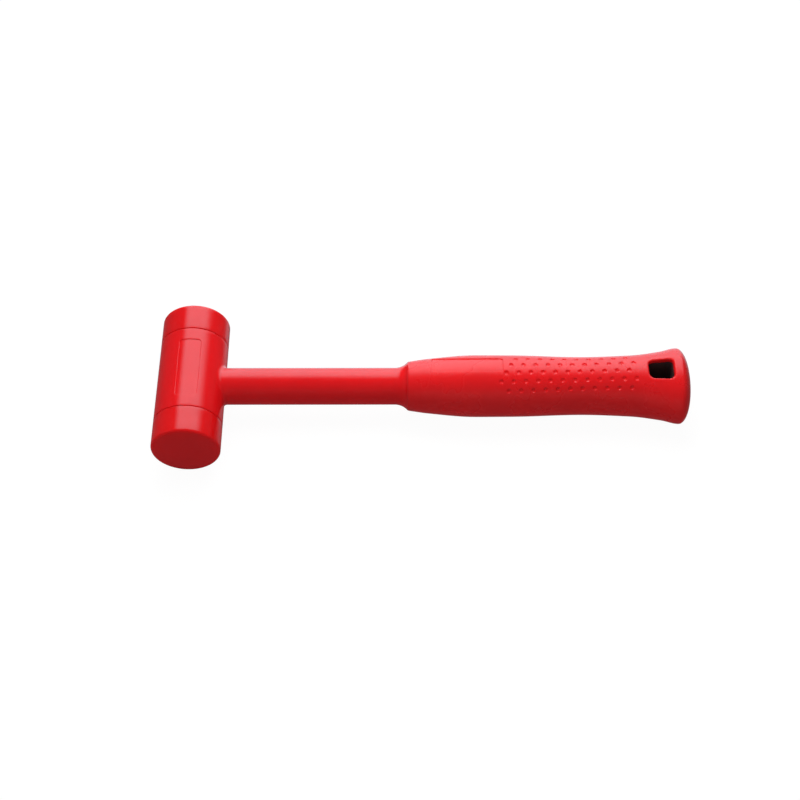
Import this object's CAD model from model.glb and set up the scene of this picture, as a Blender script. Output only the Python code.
"""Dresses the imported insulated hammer: fine meshes, moulded finishes, a plain studio and the camera.

The hammer lies on its side. X runs from the head to the butt, Y along the head and Z is up. Pieces
are drawn about the head's centre, where the handle's axis crosses the head's, and then moved to
where the frame has it. Sizes are in metres and angles in degrees.
"""

import logging
import math
from dataclasses import dataclass
from enum import Enum
from typing import Any, Callable, Optional, Sequence

import bmesh
import bpy
from mathutils import Matrix, Vector


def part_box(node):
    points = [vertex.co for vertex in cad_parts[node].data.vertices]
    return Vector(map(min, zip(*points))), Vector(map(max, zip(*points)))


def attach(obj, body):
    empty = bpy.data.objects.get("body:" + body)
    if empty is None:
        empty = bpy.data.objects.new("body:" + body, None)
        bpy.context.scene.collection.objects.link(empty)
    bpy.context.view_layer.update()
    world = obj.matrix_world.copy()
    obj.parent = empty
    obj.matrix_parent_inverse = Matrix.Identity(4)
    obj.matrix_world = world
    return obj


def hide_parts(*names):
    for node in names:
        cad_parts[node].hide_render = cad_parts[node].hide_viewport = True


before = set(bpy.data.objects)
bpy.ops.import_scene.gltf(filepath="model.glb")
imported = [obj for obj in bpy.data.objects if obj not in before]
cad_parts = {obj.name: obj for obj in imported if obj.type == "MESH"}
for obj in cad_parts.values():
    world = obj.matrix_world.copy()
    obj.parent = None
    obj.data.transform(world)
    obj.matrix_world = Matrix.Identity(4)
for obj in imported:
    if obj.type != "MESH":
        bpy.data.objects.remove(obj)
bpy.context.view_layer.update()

Mesh = bmesh.types.BMesh
Profile = Sequence[tuple[float, float]]
Section = tuple[float, float, float]
Colour = tuple[float, float, float]
Look = Callable[["Bench", Any], tuple[Any, Any, Any]]

log = logging.getLogger("hammer")

MERGE_DISTANCE = 1e-6
CUT_DISTANCE = 1e-7
SHARP_ANGLE = 32.0
STUD_LENGTH = 0.0125
ROUND_STEPS = 168
SKIN_STEPS = 144
BORE_STEPS = 96
EDGE_STEPS = 4
BEND_STEP = 0.0005
ROW_STEP = 0.002
INNER_STEP = 0.004
GROUP_OUTPUTS = {"Color": "NodeSocketColor", "Roughness": "NodeSocketFloat", "Height": "NodeSocketFloat"}


class Axis(Enum):
    """An axis that round pieces are turned about."""

    HANDLE = (1.0, 0.0, 0.0)
    HEAD = (0.0, 1.0, 0.0)
    HEIGHT = (0.0, 0.0, 1.0)

    @property
    def vector(self) -> Vector:
        """The axis as a vector."""
        return Vector(self.value)

    @property
    def out(self) -> Vector:
        """The direction, square to the axis, in which a profile's radius counts."""
        return Vector((1, 0, 0)) if self is Axis.HEIGHT else Vector((0, 0, 1))


class Operation(Enum):
    """How one closed mesh is combined with another."""

    CUT = "DIFFERENCE"
    JOIN = "UNION"


class End(Enum):
    """The two ends of the head, with the way that each points along Y."""

    FRONT = -1
    BACK = 1

    @property
    def word(self) -> str:
        """The end's name as the frame's nodes and bodies have it."""
        return self.name.lower()


@dataclass(frozen=True)
class FrameSizes:
    """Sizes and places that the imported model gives.

    Attributes:
        centre: Where the handle's axis crosses the head's.
        head_radius: Radius of head and caps.
        cover_half: From the head's centre to the end of its cover.
        cap_shoulder: From the head's centre to the inner side of a cap's rim.
        cap_face: From the head's centre to the flat end of a cap.
        grip_start: From the head's centre to the grip's front edge.
        butt_end: From the head's centre to the end of the butt.
    """

    centre: Vector
    head_radius: float
    cover_half: float
    cap_shoulder: float
    cap_face: float
    grip_start: float
    butt_end: float

    @classmethod
    def read(cls) -> "FrameSizes":
        """Measures the frame's nodes, counted from the head's centre."""
        front_low, front_high = (Vector(corner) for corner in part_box("front_cap"))
        back_high = Vector(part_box("back_cap")[1])
        cover_high = Vector(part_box("insulation_cover")[1])
        grip_low, grip_high = (Vector(corner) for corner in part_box("grip"))
        centre = (front_low + back_high) / 2
        return cls(
            centre=centre,
            head_radius=(front_high.x - front_low.x) / 2,
            cover_half=cover_high.y - centre.y,
            cap_shoulder=centre.y - front_high.y + STUD_LENGTH,
            cap_face=back_high.y - centre.y,
            grip_start=grip_low.x - centre.x,
            butt_end=grip_high.x - centre.x,
        )


SIZES = FrameSizes.read()


def meshed(name: str, bm: Mesh) -> bpy.types.Mesh:
    """Makes a named mesh of a bmesh, which is used up."""
    mesh = bpy.data.meshes.new(name)
    bm.to_mesh(mesh)
    bm.free()
    return mesh


def linked(name: str, data: bpy.types.ID) -> bpy.types.Object:
    """Makes a named object of its data and puts it in the scene."""
    item = bpy.data.objects.new(name, data)
    bpy.context.scene.collection.objects.link(item)
    return item


def cleaned(bm: Mesh) -> Mesh:
    """Merges doubled points, drops faces without area and turns the faces outwards."""
    bmesh.ops.remove_doubles(bm, verts=bm.verts, dist=MERGE_DISTANCE)
    bmesh.ops.dissolve_degenerate(bm, edges=bm.edges, dist=MERGE_DISTANCE)
    bmesh.ops.recalc_face_normals(bm, faces=bm.faces)
    return bm


def spun(profile: Profile, axis: Axis, steps: int, loop: bool = False) -> Mesh:
    """Turns a profile into a closed solid.

    Args:
        profile: Points (along the axis, radius) from end to end.
        axis: The axis to turn about.
        steps: Facets round the full circle.
        loop: Whether the profile closes on itself, clear of the axis. Otherwise both its ends lie
            on the axis.

    Returns:
        The solid, its faces pointing out.
    """
    bm = bmesh.new()
    points = [bm.verts.new(axis.vector * along + axis.out * radius) for along, radius in profile]
    pairs = list(zip(points, points[1:]))
    if loop:
        pairs.append((points[-1], points[0]))
    edges = [bm.edges.new(pair) for pair in pairs]
    bmesh.ops.spin(
        bm, geom=points + edges, cent=(0, 0, 0), axis=axis.vector, angle=math.tau, steps=steps,
        use_merge=True,
    )
    return cleaned(bm)


def drawn_through(sections: Sequence[Section], steps: int) -> Mesh:
    """Draws a ring along X from section to section and closes both ends.

    Args:
        sections: (x, half height along Y, half width along Z) of each ring.
        steps: Points round each ring.

    Returns:
        The closed mesh.
    """
    bm = bmesh.new()
    x, height, width = sections[0]
    ring = bmesh.ops.create_circle(bm, segments=steps, radius=1.0)["verts"]
    bmesh.ops.rotate(bm, verts=ring, cent=(0, 0, 0), matrix=Matrix.Rotation(math.pi / 2, 3, "Y"))
    bmesh.ops.scale(bm, verts=ring, vec=(1, height, width))
    bmesh.ops.translate(bm, verts=ring, vec=(x, 0, 0))
    edges = list(bm.edges)
    bmesh.ops.contextual_create(bm, geom=edges)
    for next_x, next_height, next_width in sections[1:]:
        made = bmesh.ops.extrude_edge_only(bm, edges=edges)["geom"]
        ring = [item for item in made if isinstance(item, bmesh.types.BMVert)]
        edges = [item for item in made if isinstance(item, bmesh.types.BMEdge)]
        bmesh.ops.scale(bm, verts=ring, vec=(1, next_height / height, next_width / width))
        bmesh.ops.translate(bm, verts=ring, vec=(next_x - x, 0, 0))
        x, height, width = next_x, next_height, next_width
    bmesh.ops.contextual_create(bm, geom=edges)
    return cleaned(bm)


def combined(blank: Mesh, tool: Mesh, operation: Operation = Operation.CUT) -> Mesh:
    """Cuts a closed mesh with another, or joins the two. Both meshes are used up.

    Args:
        blank: The mesh that is worked on.
        tool: The mesh that cuts it or is added to it.
        operation: What is done.

    Returns:
        The new mesh.
    """
    holders = [linked(name, meshed(name, bm)) for name, bm in (("blank", blank), ("tool", tool))]
    modifier = holders[0].modifiers.new(operation.name.lower(), "BOOLEAN")
    modifier.operation = operation.value
    modifier.solver = "EXACT"
    modifier.object = holders[1]
    result = bmesh.new()
    result.from_object(holders[0], bpy.context.evaluated_depsgraph_get())
    for holder in holders:
        mesh = holder.data
        bpy.data.objects.remove(holder)
        bpy.data.meshes.remove(mesh)
    return cleaned(result)


def gathered(meshes: Sequence[Mesh]) -> Mesh:
    """Puts several meshes into one without joining their surfaces. They are used up."""
    together = bmesh.new()
    for bm in meshes:
        carrier = meshed("carrier", bm)
        together.from_mesh(carrier)
        bpy.data.meshes.remove(carrier)
    return together


def laid(bm: Mesh, lay: Callable[[Vector], Vector]) -> Mesh:
    """Moves every point of a mesh drawn in the flat to where lay puts it."""
    for vert in bm.verts:
        vert.co = lay(vert.co.copy())
    bmesh.ops.recalc_face_normals(bm, faces=bm.faces)
    return bm


def arc(centre: tuple[float, float], radius: float, start: float, end: float, steps: int) -> Profile:
    """Points of an arc in a profile's plane, from one angle to another."""
    turns = [math.radians(start + (end - start) * i / steps) for i in range(steps + 1)]
    return [(centre[0] + radius * math.cos(q), centre[1] + radius * math.sin(q)) for q in turns]


def rod(start: float, end: float, radius: float, axis: Axis) -> Mesh:
    """A plain round rod along an axis, to bore with."""
    return spun([(start, 0), (start, radius), (end, radius), (end, 0)], axis, BORE_STEPS)


def spread(start: float, end: float, step: float) -> list[float]:
    """Even places from start to end, both included, no further apart than step."""
    count = max(1, math.ceil(abs(end - start) / step))
    return [start + (end - start) * i / count for i in range(count + 1)]


def smooth_through(keys: Profile, at: float, last_slope: float) -> float:
    """Reads a smooth curve that never overshoots its keys.

    Args:
        keys: Points (place, height) in rising order.
        at: The place to read.
        last_slope: The curve's slope at its last key.

    Returns:
        The height there.
    """
    spans = [b[0] - a[0] for a, b in zip(keys, keys[1:])]
    secants = [(b[1] - a[1]) / span for a, b, span in zip(keys, keys[1:], spans)]
    slopes = [secants[0]]
    for before, after in zip(secants, secants[1:]):
        slopes.append(2 * before * after / (before + after) if before * after > 0 else 0.0)
    slopes.append(last_slope)
    k = max(i for i in range(len(spans)) if i == 0 or at >= keys[i][0])
    span = spans[k]
    t = (at - keys[k][0]) / span
    return (
        keys[k][1] * (2 * t**3 - 3 * t**2 + 1)
        + slopes[k] * span * (t**3 - 2 * t**2 + t)
        + keys[k + 1][1] * (3 * t**2 - 2 * t**3)
        + slopes[k + 1] * span * (t**3 - t**2)
    )


@dataclass(frozen=True)
class SunkTool:
    """A cutter for a sunk place with rounded corners and a rounded lip, drawn in the flat.

    Attributes:
        corners: Corners (u, v) of the cut's wall, anticlockwise.
        corner_radius: Rounding between the wall's sides.
        lip_radius: Rounding of the edge between the skin and the wall.
        depth: How far below the skin the wall ends.
        foot_radius: Rounding between the wall and the floor, or 0 where there is no floor.
        lip_turn: Where the lip's arc ends, short of running out level with the skin.
        above: How far the lip's last slope goes above the skin.
        stand: Height of the tool's block above that.
        floor_rim: Width of the level ring inside the foot, which keeps the floor's shading true.
        corner_steps: Facets of each rounded corner.
        lip_steps: Facets of the lip, and of the foot.
    """

    corners: Profile
    corner_radius: float
    lip_radius: float
    depth: float
    foot_radius: float = 0.0
    lip_turn: float = 76.0
    above: float = 0.0001
    stand: float = 0.0015
    floor_rim: float = 0.0003
    corner_steps: int = 8
    lip_steps: int = 4

    def wall_profile(self) -> Profile:
        """Points (outwards from the wall, height over the skin), from the tool's widest line down."""
        turns = [math.radians(self.lip_turn * (1 - i / self.lip_steps)) for i in range(self.lip_steps + 1)]
        lip = [(self.lip_radius * (1 - math.cos(q)), self.lip_radius * (math.sin(q) - 1)) for q in turns]
        run = (self.above - lip[0][1]) * math.tan(turns[0])
        foot = [(0.0, -self.depth)]
        if self.foot_radius:
            foot = [
                (along - self.foot_radius, height - self.depth + self.foot_radius)
                for along, height in arc((0, 0), self.foot_radius, 0, -90, self.lip_steps)
            ]
            foot.append((foot[-1][0] - self.floor_rim, -self.depth))
        return [(lip[0][0] + run, self.above), *lip, *foot]

    def drawn(self) -> Mesh:
        """Draws the closed tool, with (u, v) in its plane and the height over the skin along Z."""
        profile = self.wall_profile()
        reach = profile[0][0]
        bm = bmesh.new()
        points = []
        for i, corner in enumerate(self.corners):
            here = Vector(corner)
            before = (Vector(self.corners[i - 1]) - here).normalized()
            after = (Vector(self.corners[(i + 1) % len(self.corners)]) - here).normalized()
            half = before.angle(after) / 2
            place = here - (before + after).normalized() * (reach / math.sin(half))
            points.append(bm.verts.new((place.x, place.y, self.above)))
        bm.faces.new(points)
        bmesh.ops.bevel(
            bm, geom=points, offset=self.corner_radius + reach, offset_type="OFFSET", affect="VERTICES",
            segments=self.corner_steps, profile=0.5, material=-1,
        )
        floor = list(bm.faces)
        top = bmesh.ops.extrude_face_region(bm, geom=floor)["geom"]
        lifted = [item for item in top if isinstance(item, bmesh.types.BMVert)]
        bmesh.ops.translate(bm, verts=lifted, vec=(0, 0, self.stand))
        bmesh.ops.recalc_face_normals(bm, faces=bm.faces)
        for (out, height), (next_out, next_height) in zip(profile, profile[1:]):
            bmesh.ops.inset_region(
                bm, faces=floor, thickness=max(out - next_out, CUT_DISTANCE), depth=height - next_height,
                use_even_offset=True, use_boundary=True,
            )
        return bm


def sliced(bm: Mesh, normal: Vector, places: Sequence[float]) -> Mesh:
    """Cuts a mesh's faces along planes square to normal, so that they can bend."""
    for place in places:
        geom = [*bm.verts, *bm.edges, *bm.faces]
        bmesh.ops.bisect_plane(bm, geom=geom, plane_co=normal * place, plane_no=normal, dist=CUT_DISTANCE)
    return bm


def rectangle(length: float, width: float) -> Profile:
    """Corners of a rectangle about the origin, anticlockwise."""
    u, v = length / 2, width / 2
    return [(-u, -v), (u, -v), (u, v), (-u, v)]


class Bench:
    """Places nodes in one node tree and joins them."""

    def __init__(self, tree: bpy.types.NodeTree) -> None:
        """Starts on an existing tree."""
        self.tree = tree

    @classmethod
    def emptied(cls, holder: Any) -> "Bench":
        """Starts on the tree of a material or world, without the nodes it comes with."""
        holder.use_nodes = True
        holder.node_tree.nodes.clear()
        return cls(holder.node_tree)

    def add(self, kind: str, values: Optional[dict[Any, Any]] = None, **settings: Any) -> bpy.types.Node:
        """Adds a node.

        Args:
            kind: The node's type name.
            values: By input, a value for it or another node's socket to join to it.
            settings: The node's own properties.

        Returns:
            The new node.
        """
        node = self.tree.nodes.new(kind)
        for name, value in settings.items():
            setattr(node, name, value)
        for name, value in (values or {}).items():
            if isinstance(value, bpy.types.NodeSocket):
                self.tree.links.new(value, node.inputs[name])
            else:
                node.inputs[name].default_value = value
        return node

    def maths(self, operation: str, first: Any, second: Any = 0.0) -> bpy.types.NodeSocket:
        """Adds a math node and gives its result."""
        return self.add("ShaderNodeMath", {0: first, 1: second}, operation=operation).outputs[0]

    def blended(self, share: Any, first: Any, second: Any) -> bpy.types.NodeSocket:
        """Adds a colour mix and gives its result."""
        node = self.add("ShaderNodeMix", {0: share, 6: first, 7: second}, data_type="RGBA")
        return node.outputs[2]

    def ranged(
        self, value: Any, low: float, high: float, to_low: float = 0.0, to_high: float = 1.0
    ) -> bpy.types.NodeSocket:
        """Adds a smooth map of a value from one range to another and gives its result."""
        values = {0: value, 1: low, 2: high, 3: to_low, 4: to_high}
        return self.add("ShaderNodeMapRange", values, interpolation_type="SMOOTHSTEP").outputs[0]

    def noise(self, place: Any, scale: Any, detail: float) -> bpy.types.NodeSocket:
        """Adds a noise and gives its value."""
        values = {"Vector": place, "Scale": scale, "Detail": detail}
        return self.add("ShaderNodeTexNoise", values).outputs[0]

    def light(self, kind: str, tone: Colour, strength: Any) -> bpy.types.NodeSocket:
        """Adds a shader that gives out light, and gives its result."""
        return self.add(kind, {"Color": (*tone, 1.0), "Strength": strength}).outputs[0]

    def paths(self) -> tuple[bpy.types.NodeSocket, bpy.types.NodeSocket]:
        """Adds what marks the eye's rays, straight or through glass, and what marks mirrored rays."""
        path = self.add("ShaderNodeLightPath").outputs
        direct = self.maths("MAXIMUM", path["Is Camera Ray"], path["Is Transmission Ray"])
        return direct, path["Is Glossy Ray"]


def shading_group(name: str, inputs: dict[str, Any], look: Look) -> bpy.types.NodeTree:
    """Gives a shader node group that puts out Color, Roughness and Height, made at its first use.

    Args:
        name: The group's name.
        inputs: By name, a default value: a number, four numbers for a colour, or none for a vector.
        look: Adds the nodes and gives the three results, from a bench and the group's inputs.

    Returns:
        The group.
    """
    if name in bpy.data.node_groups:
        return bpy.data.node_groups[name]
    group = bpy.data.node_groups.new(name, "ShaderNodeTree")
    kinds = {float: "NodeSocketFloat", tuple: "NodeSocketColor", type(None): "NodeSocketVector"}
    for label, value in inputs.items():
        socket = group.interface.new_socket(name=label, in_out="INPUT", socket_type=kinds[type(value)])
        if value is not None:
            socket.default_value = value
    for label, kind in GROUP_OUTPUTS.items():
        group.interface.new_socket(name=label, in_out="OUTPUT", socket_type=kind)
    bench = Bench(group)
    results = dict(zip(GROUP_OUTPUTS, look(bench, bench.add("NodeGroupInput").outputs)))
    bench.add("NodeGroupOutput", results)
    return group


def moulded_look(bench: Bench, given: Any) -> tuple[Any, Any, Any]:
    """The look of a moulded skin: soft peel, fine grain and slow drifts of tone and gloss."""
    place = given["Vector"]
    cloud = bench.ranged(bench.noise(place, 55.0, 3.0), 0.2, 0.8)
    grain = bench.noise(place, given["Grain Size"], 3.0)
    fleck = bench.ranged(grain, 0.35, 0.7, 0.0, 0.35)
    share = bench.maths("ADD", bench.maths("MULTIPLY", cloud, 0.65), fleck)
    rough = bench.maths("MULTIPLY", bench.maths("SUBTRACT", cloud, 0.5), given["Gloss Drift"])
    peel = bench.maths("MULTIPLY", bench.noise(place, given["Peel Size"], 2.0), given["Peel"])
    return (
        bench.blended(share, given["Tone"], given["Deep Tone"]),
        bench.maths("ADD", rough, given["Roughness"]),
        bench.maths("ADD", peel, bench.maths("MULTIPLY", grain, given["Grain"])),
    )


def tooled_look(bench: Bench, given: Any) -> tuple[Any, Any, Any]:
    """The look of machined metal: turning rings round the Y axis, and dull patches."""
    across, along, up = bench.add("ShaderNodeSeparateXYZ", {0: given["Vector"]}).outputs
    squares = [bench.maths("MULTIPLY", part, part) for part in (across, up)]
    path = bench.maths("ADD", bench.maths("SQRT", bench.maths("ADD", *squares)), along)
    line = bench.add("ShaderNodeCombineXYZ", {0: bench.maths("MULTIPLY", path, given["Rings"])}).outputs[0]
    dull = bench.ranged(bench.noise(given["Vector"], 260.0, 4.0), 0.4, 0.65)
    return (
        bench.blended(dull, given["Tone"], given["Deep Tone"]),
        bench.ranged(dull, 0.0, 1.0, 0.26, 0.42),
        bench.noise(line, 1.0, 3.0),
    )


def moulded_group() -> bpy.types.NodeTree:
    """The group of the moulded look."""
    inputs = {
        "Vector": None, "Tone": (0.5, 0.5, 0.5, 1.0), "Deep Tone": (0.5, 0.5, 0.5, 1.0),
        "Roughness": 0.3, "Gloss Drift": 0.05, "Peel Size": 900.0, "Peel": 0.5,
        "Grain Size": 5000.0, "Grain": 0.5,
    }
    return shading_group("moulded skin", inputs, moulded_look)


def tooled_group() -> bpy.types.NodeTree:
    """The group of the tooled look."""
    inputs = {
        "Vector": None, "Tone": (0.5, 0.5, 0.5, 1.0), "Deep Tone": (0.3, 0.3, 0.3, 1.0), "Rings": 3000.0,
    }
    return shading_group("tooled metal", inputs, tooled_look)


@dataclass(frozen=True)
class Finish:
    """A material that reads Object coordinates, on a Principled BSDF.

    Attributes:
        name: The material's name.
        slot: The record's material slot that it stands for.
        bump: Height of the relief, in metres.
    """

    name: str
    slot: str
    bump: float

    def pattern(self, bench: Bench, place: bpy.types.NodeSocket) -> bpy.types.Node:
        """Adds the node that gives Color, Roughness and Height over the surface."""
        raise NotImplementedError

    def shader_values(self) -> dict[str, Any]:
        """Values of the shader that are the same all over the surface."""
        return {}

    def material(self) -> bpy.types.Material:
        """The material, made at its first use."""
        if self.name in bpy.data.materials:
            return bpy.data.materials[self.name]
        material = bpy.data.materials.new(self.name)
        material.use_nodes = True
        bench = Bench(material.node_tree)
        shader = material.node_tree.nodes["Principled BSDF"]
        for name, value in self.shader_values().items():
            shader.inputs[name].default_value = value
        place = bench.add("ShaderNodeTexCoord").outputs["Object"]
        centred = bench.add("ShaderNodeMapping", {"Vector": place, "Location": -SIZES.centre}).outputs[0]
        pattern = self.pattern(bench, centred)
        relief = bench.add("ShaderNodeBump", {"Height": pattern.outputs["Height"], "Distance": self.bump})
        links = material.node_tree.links
        links.new(pattern.outputs["Color"], shader.inputs["Base Color"])
        links.new(pattern.outputs["Roughness"], shader.inputs["Roughness"])
        links.new(relief.outputs["Normal"], shader.inputs["Normal"])
        return material


@dataclass(frozen=True)
class Moulded(Finish):
    """A moulded plastic or rubber.

    Attributes:
        tone: Its colour.
        deep: The deeper tone that it drifts to.
        rough: Its roughness.
        drift: How far the roughness drifts.
        peel_size: Waves of the peel to a metre.
        peel: The peel's share of the relief.
        grain_size: Grains to a metre.
        grain: The grain's share of the relief.
        glow: Share of the light that scatters under the surface.
        glow_reach: How far it scatters, in metres.
        glow_spread: The share of that reach for red, green and blue.
    """

    tone: Colour = (0.5, 0.5, 0.5)
    deep: Colour = (0.4, 0.4, 0.4)
    rough: float = 0.3
    drift: float = 0.05
    peel_size: float = 700.0
    peel: float = 0.8
    grain_size: float = 5200.0
    grain: float = 0.2
    glow: float = 0.0
    glow_reach: float = 0.003
    glow_spread: Colour = (1.0, 0.12, 0.1)

    def shader_values(self) -> dict[str, Any]:
        """A plastic's values, red light going deepest."""
        return {
            "Subsurface Weight": self.glow, "Subsurface Scale": self.glow_reach,
            "Subsurface Radius": self.glow_spread,
        }

    def pattern(self, bench: Bench, place: bpy.types.NodeSocket) -> bpy.types.Node:
        """Adds the moulded group with this finish's values."""
        values = {
            "Vector": place, "Tone": (*self.tone, 1.0), "Deep Tone": (*self.deep, 1.0),
            "Roughness": self.rough, "Gloss Drift": self.drift, "Peel Size": self.peel_size,
            "Peel": self.peel, "Grain Size": self.grain_size, "Grain": self.grain,
        }
        return bench.add("ShaderNodeGroup", values, node_tree=moulded_group())


@dataclass(frozen=True)
class Tooled(Finish):
    """A machined steel, with rings round the Y axis."""

    tone: Colour = (0.56, 0.57, 0.59)
    deep: Colour = (0.38, 0.38, 0.40)
    rings: float = 3200.0

    def pattern(self, bench: Bench, place: bpy.types.NodeSocket) -> bpy.types.Node:
        """Adds the tooled group with this finish's values."""
        values = {
            "Vector": place, "Tone": (*self.tone, 1.0), "Deep Tone": (*self.deep, 1.0), "Rings": self.rings,
        }
        return bench.add("ShaderNodeGroup", values, node_tree=tooled_group())

    def shader_values(self) -> dict[str, Any]:
        """A metal's values."""
        return {"Metallic": 1.0}


@dataclass(frozen=True)
class DrawnFibre(Finish):
    """Glass fibre in resin, with its strands drawn along X."""

    resin: Colour = (0.74, 0.62, 0.30)
    strand: Colour = (0.82, 0.77, 0.58)
    rough: float = 0.42
    stretch: tuple[float, float, float] = (0.02, 1.0, 1.0)

    def pattern(self, bench: Bench, place: bpy.types.NodeSocket) -> bpy.types.Node:
        """Adds a moulded group over strands that run along X."""
        drawn = bench.add("ShaderNodeMapping", {"Vector": place, "Scale": self.stretch}).outputs[0]
        values = {
            "Vector": drawn, "Tone": (*self.resin, 1.0), "Deep Tone": (*self.strand, 1.0),
            "Roughness": self.rough,
        }
        return bench.add("ShaderNodeGroup", values, node_tree=moulded_group())


class Finishes:
    """The hammer's materials."""

    HEAD_RED = Moulded(
        "red head insulation", "red_insulation", bump=0.000004, tone=(0.84, 0.009, 0.012),
        deep=(0.76, 0.007, 0.010), rough=0.13, drift=0.04, glow=0.35,
    )
    GRIP_RED = Moulded(
        "red grip insulation", "red_insulation", bump=0.000006, tone=(0.84, 0.009, 0.012),
        deep=(0.75, 0.007, 0.010), rough=0.28, drift=0.06, peel_size=520.0, grain=0.45, glow=0.35,
    )
    CAP_RED = Moulded(
        "red nylon", "red_nylon", bump=0.000004, tone=(0.82, 0.009, 0.011),
        deep=(0.74, 0.007, 0.009), rough=0.13, drift=0.04, peel_size=800.0, glow=0.7, glow_reach=0.004,
    )
    BLACK_NYLON = Moulded(
        "black nylon", "black_nylon", bump=0.000012, tone=(0.075, 0.048, 0.048),
        deep=(0.055, 0.036, 0.036), rough=0.52, grain=0.6,
    )
    SEAL_RUBBER = Moulded(
        "seal rubber", "seal_rubber", bump=0.000010, tone=(0.022, 0.021, 0.020),
        deep=(0.014, 0.013, 0.012), rough=0.68, grain=0.8, grain_size=7000.0,
    )
    STEEL = Tooled("turned steel", "steel", bump=0.000006)
    GLASS_FIBRE = DrawnFibre("glass fibre", "glass_fibre", bump=0.000015)


def fitted(name: str, bm: Mesh, finish: Finish, body: str, node: str) -> bpy.types.Object:
    """Makes a piece of a mesh drawn about the head's centre, in the place of one of the frame's nodes.

    Args:
        name: The piece's name.
        bm: Its mesh, which is used up.
        finish: Its material.
        body: The body that it moves with.
        node: The node that it stands for.

    Returns:
        The piece's object, at the origin, with its place in its mesh.
    """
    bmesh.ops.translate(bm, verts=bm.verts, vec=SIZES.centre)
    mesh = meshed(name, bm)
    mesh.shade_smooth()
    mesh.set_sharp_from_angle(angle=math.radians(SHARP_ANGLE))
    mesh.materials.append(finish.material())
    piece = linked(name, mesh)
    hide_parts(node)
    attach(piece, body)
    log.info("%s: %d faces, on %s", name, len(mesh.polygons), body)
    return piece


def dress(node: str, finish: Finish) -> None:
    """Gives one of the frame's own nodes a better material."""
    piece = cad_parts[node]
    if not piece.material_slots:
        piece.data.materials.append(finish.material())
    for slot in piece.material_slots:
        slot.material = finish.material()
    log.info("%s keeps its solid, in %s", node, finish.name)


@dataclass(frozen=True)
class GripOutline:
    """The grip's skin: its half sizes along the handle, from its front edge to the domed butt.

    Attributes:
        front: Half size at the front edge.
        throat: Place behind the front edge and half size, as are swell, palm and waist.
        swell: The thickest place.
        palm: Where the swell starts to draw in.
        waist: The thinnest place.
        flare: Place, half height and half width, as are eye and lip.
        eye: Section about the hanging hole.
        lip: Section where the dome starts.
        dome_fullness: 2 for an elliptic dome, and more for a squarer one.
    """

    front: float = 0.01255
    throat: tuple[float, float] = (0.0110, 0.0141)
    swell: tuple[float, float] = (0.0350, 0.0159)
    palm: tuple[float, float] = (0.0550, 0.0158)
    waist: tuple[float, float] = (0.0890, 0.0149)
    flare: Section = (0.1145, 0.0160, 0.0153)
    eye: Section = (0.1300, 0.0187, 0.0157)
    lip: Section = (0.13885, 0.0210, 0.0165)
    dome_fullness: float = 2.3

    def half_sizes(self, x: float) -> tuple[float, float]:
        """Half height along Y and half width along Z at x, counted from the head's centre."""
        along = min(x - SIZES.grip_start, self.lip[0])
        keys = [(0.0, self.front), self.throat, self.swell, self.palm, self.waist]
        flared = (self.flare, self.eye, self.lip)
        return (
            smooth_through(keys + [(at, height) for at, height, _ in flared], along, 0.0),
            smooth_through(keys + [(at, width) for at, _, width in flared], along, 0.0),
        )

    @property
    def lip_x(self) -> float:
        """Where the butt's dome starts, from the head's centre."""
        return SIZES.grip_start + self.lip[0]

    def sections(self, start: float, inset: float, step: float) -> list[Section]:
        """Sections of the outline, drawn in by inset, from start along to the pole of the dome."""
        rings = []
        for x in spread(start, self.lip_x, step):
            height, width = self.half_sizes(x)
            rings.append((x, height - inset, width - inset))
        _, height, width = rings[-1]
        dome = SIZES.butt_end - self.lip_x - inset
        turns = [math.radians(degrees) for degrees in spread(0, 89, 89 * step / (height * 1.4))]
        for q in turns[1:]:
            share = math.cos(q) ** (2 / self.dome_fullness)
            rings.append((self.lip_x + dome * math.sin(q), height * share, width * share))
        return rings

    def on_skin(self, x: float, turn: float, height: float) -> Vector:
        """A point over the skin.

        Args:
            x: Place along the handle.
            turn: Turn about the handle, from its upper side towards +Y, in degrees.
            height: Height over the skin.

        Returns:
            The point, about the head's centre.
        """
        tall, wide = self.half_sizes(x)
        across, up = math.sin(math.radians(turn)), math.cos(math.radians(turn))
        outward = Vector((0, across / tall, up / wide)).normalized()
        return Vector((x, tall * across, wide * up)) + outward * height

    def over(self, x: float, y: float) -> float:
        """Height of the skin's upper side over the handle's axis at (x, y)."""
        tall, wide = self.half_sizes(x)
        return wide * math.sqrt(max(0.0, 1 - (y / tall) ** 2))


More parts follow.
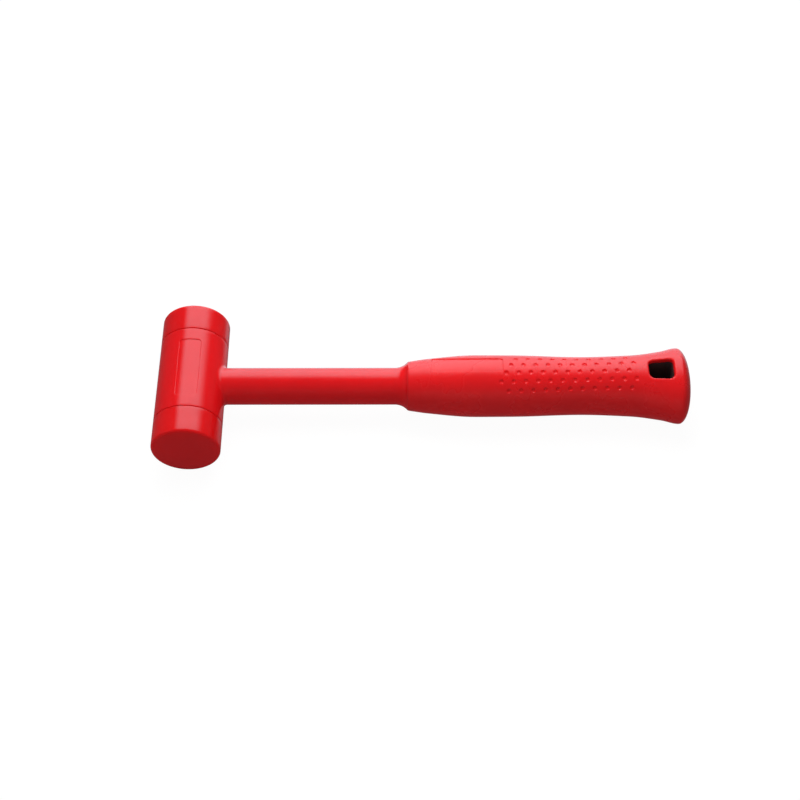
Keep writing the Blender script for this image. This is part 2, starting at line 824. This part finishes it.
@dataclass(frozen=True)
class Cover:
    """The red moulding over the head and along the shaft, with its sunk panel."""

    wall: float = 0.0030
    seam_radius: float = 0.0003
    shaft_radius: float = 0.0095
    sleeve_wall: float = 0.0013
    neck_fillet: float = 0.0017
    neck_turn: float = 80.0
    neck_sink: float = 0.00015
    shoulder_run: float = 0.0064
    panel_length: float = 0.0350
    panel_width: float = 0.0115
    panel_depth: float = 0.00035
    panel_corner: float = 0.0017
    panel_lip: float = 0.00012
    panel_foot: float = 0.0001
    row_step: float = 0.0012
    neck_steps: int = 8
    shoulder_steps: int = 12
    neck_from: float = 0.001
    lean_length: float = 0.012

    def drum(self) -> Mesh:
        """The head's outside, with rounded seam edges."""
        half, radius, edge = SIZES.cover_half, SIZES.head_radius, self.seam_radius
        near = arc((edge - half, radius - edge), edge, 180, 90, EDGE_STEPS)
        far = arc((half - edge, radius - edge), edge, 90, 0, EDGE_STEPS)
        rows = [(y, radius) for y in spread(edge - half, half - edge, self.row_step)[1:-1]]
        return spun([(-half, 0), *near, *rows, *far, (half, 0)], Axis.HEAD, ROUND_STEPS)

    def sleeve(self, shoulder_radius: float) -> Mesh:
        """The shaft's outside, from inside the head to its shoulder at the grip.

        Args:
            shoulder_radius: Radius at which the shoulder meets the grip.

        Returns:
            A closed solid that is to be joined to the drum. Its neck leans with the drum's round side.
        """
        radius, shaft, fillet = SIZES.head_radius, self.shaft_radius, self.neck_fillet
        neck_end = radius + fillet
        neck = arc((neck_end, shaft + fillet), fillet, -90 - self.neck_turn, -90, self.neck_steps)
        foot = neck[0]
        root = foot[1] + self.neck_sink * math.tan(math.radians(self.neck_turn))
        straight_end = SIZES.grip_start - self.shoulder_run
        rise = shoulder_radius - shaft
        bend = (self.shoulder_run**2 + rise**2) / (2 * rise)
        last_turn = math.degrees(math.asin(self.shoulder_run / bend))
        shoulder = arc((straight_end, shaft + bend), bend, -90, last_turn - 90, self.shoulder_steps)
        straight = [(x, shaft) for x in spread(neck_end, straight_end, ROW_STEP)[1:-1]]
        profile = [
            (0, 0), (0, root), (radius - self.wall / 2, root), (foot[0] - self.neck_sink, root),
            *neck, *straight, *shoulder, (SIZES.grip_start, 0),
        ]
        bm = spun(profile, Axis.HANDLE, SKIN_STEPS)
        for vert in bm.verts:
            x, _, z = vert.co
            if x > self.neck_from:
                share = min(1.0, max(0.0, (neck_end + self.lean_length - x) / self.lean_length))
                vert.co.x += share * (math.sqrt(radius**2 - min(z * z, radius**2)) - radius)
        return bm

    def panel_tool(self) -> Mesh:
        """The cutter of the bare sunk panel on the head's upper side."""
        radius = SIZES.head_radius
        tool = SunkTool(
            corners=rectangle(self.panel_width, self.panel_length), corner_radius=self.panel_corner,
            lip_radius=self.panel_lip, depth=self.panel_depth, foot_radius=self.panel_foot,
        )
        half = self.panel_width / 2
        bm = sliced(tool.drawn(), Vector((1, 0, 0)), spread(-half, half, BEND_STEP))

        def lay(point: Vector) -> Vector:
            """Bends the tool round the head."""
            q = point.x / radius
            out = radius + point.z
            return Vector((out * math.sin(q), point.y, out * math.cos(q)))

        return cleaned(laid(bm, lay))

    def build(self, shoulder_radius: float) -> None:
        """Makes the whole cover."""
        half = SIZES.cover_half
        bm = combined(self.drum(), self.sleeve(shoulder_radius), Operation.JOIN)
        bm = combined(bm, rod(-2 * half, 2 * half, SIZES.head_radius - self.wall, Axis.HEAD))
        bore = self.shaft_radius - self.sleeve_wall
        bm = combined(bm, rod(0, SIZES.grip_start + half, bore, Axis.HANDLE))
        bm = combined(bm, self.panel_tool())
        fitted("head_and_shaft_cover", bm, Finishes.HEAD_RED, "hammer", "insulation_cover")


@dataclass(frozen=True)
class Cap:
    """A screwed striking cap: flat face, rounded rim, and a stud with a moulded thread."""

    rim_radius: float = 0.0016
    seam_radius: float = 0.0003
    stud_radius: float = 0.0077
    stud_chamfer: float = 0.0010
    thread_depth: float = 0.0010
    thread_pitch: float = 0.0030
    thread_turns: float = 3.4
    crest: float = 0.0009
    base: float = 0.0022
    run_out: float = 0.0014
    thread_sunk: float = 0.0003
    thread_from: float = 0.0004
    steps_a_turn: int = 72
    rim_steps: int = 10

    def body(self, side: int) -> Mesh:
        """The turned body of the cap, with the stud at the thread's root."""
        shoulder, face, radius = SIZES.cap_shoulder, SIZES.cap_face, SIZES.head_radius
        edge, rim_radius = self.seam_radius, self.rim_radius
        end, root = shoulder - STUD_LENGTH, self.stud_radius - self.thread_depth
        rim = arc((face - rim_radius, radius - rim_radius), rim_radius, 90, 0, self.rim_steps)
        rows = [(y, radius) for y in spread(shoulder + edge, face - rim_radius, ROW_STEP)[1:-1]]
        profile = [
            (end, 0), (end, root - self.stud_chamfer), (end + self.stud_chamfer, root), (shoulder, root),
            *arc((shoulder + edge, radius - edge), edge, 180, 90, EDGE_STEPS), *rows, *rim,
            (face, radius / 2), (face, 0),
        ]
        return spun([(side * along, out) for along, out in profile], Axis.HEAD, ROUND_STEPS)

    def thread(self, side: int) -> Mesh:
        """The thread's ridge, a right-hand helix whose ends run out into the stud."""
        under = self.stud_radius - self.thread_depth - self.thread_sunk
        half_base, half_crest = self.base / 2, self.crest / 2
        start = SIZES.cap_shoulder - STUD_LENGTH + half_base + self.thread_from
        bm = bmesh.new()
        section = [
            (-half_base, under), (-half_crest, self.stud_radius),
            (half_crest, self.stud_radius), (half_base, under),
        ]
        points = [bm.verts.new((0, side * (start + along), out)) for along, out in section]
        edges = [bm.edges.new(pair) for pair in zip(points, points[1:] + points[:1])]
        along = Vector((0, side, 0))
        bmesh.ops.spin(
            bm, geom=points + edges, cent=(0, 0, 0), axis=along,
            dvec=along * self.thread_pitch / self.steps_a_turn, angle=math.tau * self.thread_turns,
            steps=round(self.steps_a_turn * self.thread_turns),
        )
        bmesh.ops.holes_fill(bm, edges=[edge for edge in bm.edges if edge.is_boundary])
        length = self.thread_pitch * self.thread_turns
        for vert in bm.verts:
            out = math.hypot(vert.co.x, vert.co.z)
            place = side * vert.co.y - start
            to_end = min(place + half_base, length + half_base - place)
            share = min(1.0, max(0.0, to_end / self.run_out))
            ease = share * share * (3 - 2 * share)
            scale = (under + (out - under) * ease) / out
            vert.co.x *= scale
            vert.co.z *= scale
        return cleaned(bm)

    def build(self, end: End) -> None:
        """Makes the cap of one end."""
        bm = combined(self.body(end.value), self.thread(end.value), Operation.JOIN)
        fitted(f"{end.word}_striking_cap", bm, Finishes.CAP_RED, f"{end.word}_face", f"{end.word}_cap")


@dataclass(frozen=True)
class Seal:
    """A rubber washer under a cap, with rounded edges."""

    edge: float = 0.00025
    hole_gap: float = 0.0005

    def build(self, end: End) -> None:
        """Makes the seal of one end."""
        low, high = (Vector(corner) - SIZES.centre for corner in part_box(f"{end.word}_seal"))
        edge = self.edge
        near, far = low.y + edge, high.y - edge
        outer, inner = high.x - edge, Cap.stud_radius + self.hole_gap + edge
        corners = ((near, outer), (far, outer), (far, inner), (near, inner))
        profile = []
        for corner, turn in zip(corners, (180, 90, 0, -90)):
            profile += arc(corner, edge, turn, turn - 90, EDGE_STEPS)
        bm = spun(profile, Axis.HEAD, BORE_STEPS, loop=True)
        fitted(f"{end.word}_washer", bm, Finishes.SEAL_RUBBER, f"{end.word}_washer", f"{end.word}_seal")


@dataclass(frozen=True)
class Grip:
    """The red hand grip over its black core: dimples, sunk panel, hanging hole and domed butt."""

    outline: GripOutline = GripOutline()
    wall: float = 0.0026
    clearance: float = 0.0003
    crest_run: float = 0.0011
    crest_drop: float = 0.00045
    tube_radius: float = 0.0079
    tube_start: float = 0.0145
    rod_bore: float = 0.0063
    rod_end: float = 0.22465
    panel_at: float = 0.0123
    panel_length: float = 0.0363
    panel_width: float = 0.0098
    panel_depth: float = 0.0004
    panel_turn: float = 9.0
    panel_level: float = 53.8
    panel_corner: float = 0.0017
    panel_lip: float = 0.00015
    panel_foot: float = 0.00012
    dimple_radius: float = 0.00122
    dimple_depth: float = 0.00058
    dimple_pitch: float = 0.00624
    first_dimple: float = 0.0476
    last_dimple: float = 0.1174
    bowl_steps: int = 5
    bowl_short: float = 14.0
    dimple_rim: Profile = ((0.45, 0.00012), (0.12, 0.00026))
    dimple_brim: float = 0.00052
    dimple_over: float = 0.00006
    dimple_top: float = 0.0008
    dimple_facets: int = 20
    row_lean: float = 113.0
    lean_middle: float = 0.0967
    row_turns: tuple[float, ...] = (-40.8, -23.4, -6.0, 11.4, 28.8)
    row_shifts: tuple[float, ...] = (-0.41, 0.0, 0.41, 0.82, 1.23)
    hole_at: float = 0.1290
    hole_length: float = 0.0126
    hole_front_half: float = 0.0054
    hole_rear_half: float = 0.0063
    hole_corner: float = 0.0028
    hole_lip: float = 0.0010
    hole_lip_steps: int = 5
    hole_overlap: float = 0.001
    core_lip: float = 0.0001
    core_gap: float = 0.0005
    tube_step: float = 0.02
    row_step: float = 0.0010
    crest_steps: int = 8

    @property
    def shoulder_radius(self) -> float:
        """Radius at which the grip's crest meets the shaft's shoulder."""
        return self.outline.half_sizes(SIZES.grip_start + self.crest_run)[0] - self.crest_drop

    def crest(self) -> list[Section]:
        """Sections of the rounded crest at the grip's front, a curve between two slopes."""
        start = (SIZES.grip_start, self.shoulder_radius)
        end_x = SIZES.grip_start + self.crest_run
        end = (end_x, self.outline.half_sizes(end_x)[0])
        slope = (self.outline.half_sizes(end_x + BEND_STEP)[0] - end[1]) / BEND_STEP
        bend_x = (end[1] - slope * end_x - start[1] + start[0]) / (1 - slope)
        bend = (bend_x, start[1] + bend_x - start[0])
        sections = []
        for i in range(self.crest_steps):
            t = i / self.crest_steps
            x, out = (
                (1 - t) ** 2 * start[k] + 2 * t * (1 - t) * bend[k] + t * t * end[k] for k in range(2)
            )
            sections.append((x, out, out))
        return sections

    def skin(self) -> Mesh:
        """The grip's wall, drawn from the pole of its inner side round the front edge to the butt."""
        start = SIZES.grip_start
        inner = self.outline.sections(start, self.wall, INNER_STEP)
        outer = self.outline.sections(start + self.crest_run, 0.0, self.row_step)
        return drawn_through([*reversed(inner), *self.crest(), *outer], SKIN_STEPS)

    def dimple_tools(self) -> list[Mesh]:
        """A soft-edged bowl for each dimple, above and, mirrored, below."""
        ball = (self.dimple_radius**2 + self.dimple_depth**2) / (2 * self.dimple_depth)
        last = math.degrees(math.asin(self.dimple_radius / ball)) - self.bowl_short
        bowl = arc((ball - self.dimple_depth, 0), ball, 180, 180 - last, self.bowl_steps)
        height, out = bowl[-1]
        soft = [(height * share, out + run) for share, run in self.dimple_rim]
        brim = out + self.dimple_brim
        top = self.dimple_top
        profile = [*bowl, *soft, (self.dimple_over, brim), (top, brim), (top, 0)]
        tools = []
        for turn, shift in zip(self.row_turns, self.row_shifts):
            along = self.first_dimple + shift * self.dimple_pitch
            while along < self.last_dimple:
                if along >= self.first_dimple:
                    leant = turn + self.row_lean * (along - self.lean_middle)
                    tools += [self.dimple(profile, along, leant), self.dimple(profile, along, 180 - leant)]
                along += self.dimple_pitch
        return tools

    def dimple(self, profile: Profile, along: float, turn: float) -> Mesh:
        """One bowl, laid on the skin at a place along the grip and a turn about it."""
        x = SIZES.grip_start + along
        mean = sum(self.outline.half_sizes(x)) / 2

        def lay(point: Vector) -> Vector:
            """Lays the bowl's points on the skin."""
            return self.outline.on_skin(x + point.x, turn + math.degrees(point.y / mean), point.z)

        return laid(spun(profile, Axis.HEIGHT, self.dimple_facets), lay)

    def panel_tool(self) -> Mesh:
        """The cutter of the bare sunk panel behind the shoulder."""
        middle = SIZES.grip_start + self.panel_at + self.panel_length / 2
        mean = self.outline.half_sizes(middle)[0]
        tool = SunkTool(
            corners=rectangle(self.panel_length, self.panel_width), corner_radius=self.panel_corner,
            lip_radius=self.panel_lip, depth=self.panel_depth, foot_radius=self.panel_foot,
        )
        half_width, half_length = self.panel_width / 2, self.panel_length / 2
        bm = sliced(tool.drawn(), Vector((0, 1, 0)), spread(-half_width, half_width, BEND_STEP))
        bm = sliced(bm, Vector((1, 0, 0)), spread(-half_length, half_length, ROW_STEP))

        def lay(point: Vector) -> Vector:
            """Bends the tool round the grip, with its long edges level although the grip tapers."""
            x = middle + point.x
            turn = math.radians(self.panel_level - self.panel_turn) - point.y / mean
            level = min(0.998, math.cos(turn) * mean / self.outline.half_sizes(x)[0])
            return self.outline.on_skin(x, self.panel_level - math.degrees(math.acos(level)), point.z)

        return cleaned(laid(bm, lay))

    def hole_tool(self, side: int, lip: float) -> Mesh:
        """Half of the hanging hole's cutter, from past the middle to over the skin.

        Args:
            side: 1 for the upper half and -1 for the lower one.
            lip: Rounding of the hole's mouth.

        Returns:
            The closed cutter.
        """
        middle = SIZES.grip_start + self.hole_at
        front, rear = middle - self.hole_length / 2, middle + self.hole_length / 2
        corners = [
            (front, -self.hole_front_half), (rear, -self.hole_rear_half),
            (rear, self.hole_rear_half), (front, self.hole_front_half),
        ]
        deep = 2 * self.outline.lip[2]
        tool = SunkTool(
            corners=corners, corner_radius=self.hole_corner, lip_radius=lip, depth=deep,
            lip_steps=self.hole_lip_steps,
        )

        def lay(point: Vector) -> Vector:
            """Follows the skin above, and ends just past the middle below."""
            over = self.outline.over(point.x, point.y) + point.z
            height = -self.hole_overlap if point.z < -deep / 2 else over
            return Vector((point.x, point.y, side * height))

        return laid(tool.drawn(), lay)

    def build(self) -> None:
        """Makes the grip."""
        bm = combined(self.skin(), gathered(self.dimple_tools()))
        bm = combined(bm, self.panel_tool())
        for side in (1, -1):
            bm = combined(bm, self.hole_tool(side, self.hole_lip))
        fitted("hand_grip", bm, Finishes.GRIP_RED, "hammer", "grip")

    def build_core(self) -> None:
        """Makes the black moulding under the skin, which shows in the hanging hole."""
        inset = self.wall + self.clearance
        rows = spread(self.tube_start, SIZES.grip_start, self.tube_step)
        tube = [(x, self.tube_radius, self.tube_radius) for x in rows]
        swollen = self.outline.sections(SIZES.grip_start + self.core_gap, inset, INNER_STEP)
        bm = drawn_through(tube + swollen, BORE_STEPS)
        bm = combined(bm, rod(0, self.rod_end, self.rod_bore, Axis.HANDLE))
        for side in (1, -1):
            bm = combined(bm, self.hole_tool(side, self.core_lip))
        fitted("grip_core", bm, Finishes.BLACK_NYLON, "hammer", "handle_core")


@dataclass(frozen=True)
class Lamp:
    """A round soft lamp that faces the hammer. It gives light but no highlight of its own.

    Attributes:
        name: Its name.
        place: Where its middle stands.
        size: Its width.
        radiance: Its brightness.
    """

    name: str
    place: tuple[float, float, float]
    size: float
    radiance: float

    def build(self) -> None:
        """Sets the lamp up."""
        data = bpy.data.lights.new(self.name, "AREA")
        data.shape = "DISK"
        data.size = self.size
        data.energy = self.radiance * math.pi**2 * self.size**2 / 4
        lamp = linked(self.name, data)
        lamp.location = self.place
        lamp.rotation_euler = Vector(self.place).to_track_quat("Z", "Y").to_euler()
        lamp.visible_glossy = False


@dataclass(frozen=True)
class Studio:
    """A pale floor, soft lamps, a dim room, the soft box that reflections show, and the camera.

    Attributes:
        floor_half: Half the floor's side.
        floor_tone: How pale the floor is in the light that it throws back.
        floor_white: The floor's brightness to the eye.
        white: The tone of the floor and the room to the eye.
        shadow_share: Share of the floor's own light and shade that the eye still sees.
        room: The room's light.
        mirrored_room: What reflections show of the room and the floor outside the soft box.
        mirrored_box: The soft box's brightness in reflections.
        box_tone: Its tone.
        box_start: Heights above the far horizon, below 0 in the floor, between which it begins.
        box_rise: Heights between which it gets brighter.
        box_foot: Its share of brightness below the first of them.
        box_fall: Heights between which it fades again.
        box_left: Angles to the side between which it begins.
        box_right: Angles to the side between which it ends.
        lamps: The lamps.
        camera_place: Where the camera stands.
        camera_turn: The camera's turn about each axis.
        lens: Its focal length, in millimetres.
        sensor: Its sensor's width, in millimetres.
    """

    floor_half: float = 4.0
    floor_tone: float = 0.34
    floor_white: float = 1.2
    white: Colour = (1.0, 1.0, 1.0)
    shadow_share: float = 0.2
    room: float = 0.19
    mirrored_room: Colour = (0.30, 0.10, 0.11)
    mirrored_box: float = 2.65
    box_tone: Colour = (0.4, 0.96, 1.06)
    box_start: tuple[float, float] = (-56.0, -34.0)
    box_rise: tuple[float, float] = (-10.0, 28.0)
    box_foot: float = 0.38
    box_fall: tuple[float, float] = (46.0, 84.0)
    box_left: tuple[float, float] = (-31.0, -15.0)
    box_right: tuple[float, float] = (22.0, 46.0)
    lamps: tuple[Lamp, ...] = (
        Lamp("back_lamp", (0.0, 1.06, 1.06), 1.0, 4.6),
        Lamp("overhead_fill", (-0.45, 0.50, 1.45), 1.2, 1.95),
        Lamp("grip_fill", (0.02, 0.08, 0.28), 0.13, 6.4),
        Lamp("front_fill", (0.0, -1.40, 0.53), 1.0, 1.3),
        Lamp("left_fill", (-1.40, 0.0, 0.53), 1.0, 0.5),
        Lamp("right_fill", (1.40, 0.0, 0.53), 1.0, 0.12),
    )
    camera_place: tuple[float, float, float] = (-0.01193, -0.49472, 0.68090)
    camera_turn: tuple[float, float, float] = (36.222, 0.034, -0.044)
    lens: float = 72.3
    sensor: float = 36.0

    def floor(self) -> None:
        """The floor: white to the eye, modest in the light it throws back, and clear to reflections."""
        bm = bmesh.new()
        bmesh.ops.create_grid(bm, x_segments=1, y_segments=1, size=self.floor_half)
        floor = linked("floor", meshed("floor", bm))
        material = bpy.data.materials.new("pale floor")
        bench = Bench.emptied(material)
        matt = bench.add("ShaderNodeBsdfDiffuse", {"Color": (*[self.floor_tone] * 3, 1.0)}).outputs[0]
        white = bench.light("ShaderNodeEmission", self.white, self.floor_white)
        clear = bench.add("ShaderNodeBsdfTransparent").outputs[0]
        direct, mirrored = bench.paths()
        seen = bench.maths("MULTIPLY", direct, 1 - self.shadow_share)
        lit = bench.add("ShaderNodeMixShader", {0: seen, 1: matt, 2: white}).outputs[0]
        mixed = bench.add("ShaderNodeMixShader", {0: mirrored, 1: lit, 2: clear}).outputs[0]
        bench.add("ShaderNodeOutputMaterial", {"Surface": mixed})
        floor.data.materials.append(material)

    def room_light(self) -> None:
        """The room: white to the eye, dim in its light, and a soft box behind the hammer in reflections."""
        world = bpy.data.worlds.new("room")
        bench = Bench.emptied(world)
        direct, mirrored = bench.paths()
        lift = bench.maths("MULTIPLY", direct, 1 - self.room)
        level = bench.maths("ADD", lift, self.room)
        plain = bench.light("ShaderNodeBackground", self.white, level)
        dim = bench.light("ShaderNodeBackground", self.mirrored_room, 1.0)
        box = bench.light("ShaderNodeBackground", self.box_tone, self.soft_box(bench))
        shown = bench.add("ShaderNodeAddShader", {0: dim, 1: box}).outputs[0]
        mixed = bench.add("ShaderNodeMixShader", {0: mirrored, 1: plain, 2: shown}).outputs[0]
        bench.add("ShaderNodeOutputWorld", {"Surface": mixed})
        bpy.context.scene.world = world

    def soft_box(self, bench: Bench) -> bpy.types.NodeSocket:
        """The brightness of the soft box that reflections show, by the direction they look in.

        Args:
            bench: The room's node tree.

        Returns:
            The brightness, from 0 outside the box.
        """
        way = bench.add("ShaderNodeTexCoord").outputs["Generated"]
        across, back, up = bench.add("ShaderNodeSeparateXYZ", {0: way}).outputs
        height = bench.maths("ARCTAN2", up, back)
        side = bench.maths("ARCSINE", across)
        level = self.mirrored_box
        for angle, (start, end), low, high in (
            (height, self.box_start, 0.0, 1.0),
            (height, self.box_rise, self.box_foot, 1.0),
            (height, self.box_fall, 1.0, 0.0),
            (side, self.box_left, 0.0, 1.0),
            (side, self.box_right, 1.0, 0.0),
        ):
            share = bench.ranged(angle, math.radians(start), math.radians(end), low, high)
            level = bench.maths("MULTIPLY", share, level)
        return level

    def camera(self) -> None:
        """The camera, which looks down at the hammer from its front side."""
        data = bpy.data.cameras.new("camera")
        data.lens, data.sensor_width = self.lens, self.sensor
        camera = linked("camera", data)
        camera.location = self.camera_place
        camera.rotation_euler = [math.radians(turn) for turn in self.camera_turn]
        bpy.context.scene.camera = camera

    def build(self) -> None:
        """Sets the studio up."""
        self.camera()
        self.floor()
        self.room_light()
        for lamp in self.lamps:
            lamp.build()
        bpy.context.scene.view_settings.view_transform = "Standard"


def main() -> None:
    """Builds the hammer's pieces and the studio."""
    logging.basicConfig(level=logging.INFO, format="%(name)s: %(message)s")
    Studio().build()
    grip = Grip()
    Cover().build(grip.shoulder_radius)
    grip.build_core()
    grip.build()
    for end in End:
        Cap().build(end)
        Seal().build(end)
    dress("head_core", Finishes.STEEL)
    dress("handle_pin", Finishes.STEEL)
    dress("handle_rod", Finishes.GLASS_FIBRE)


if __name__ == "__main__":
    main()
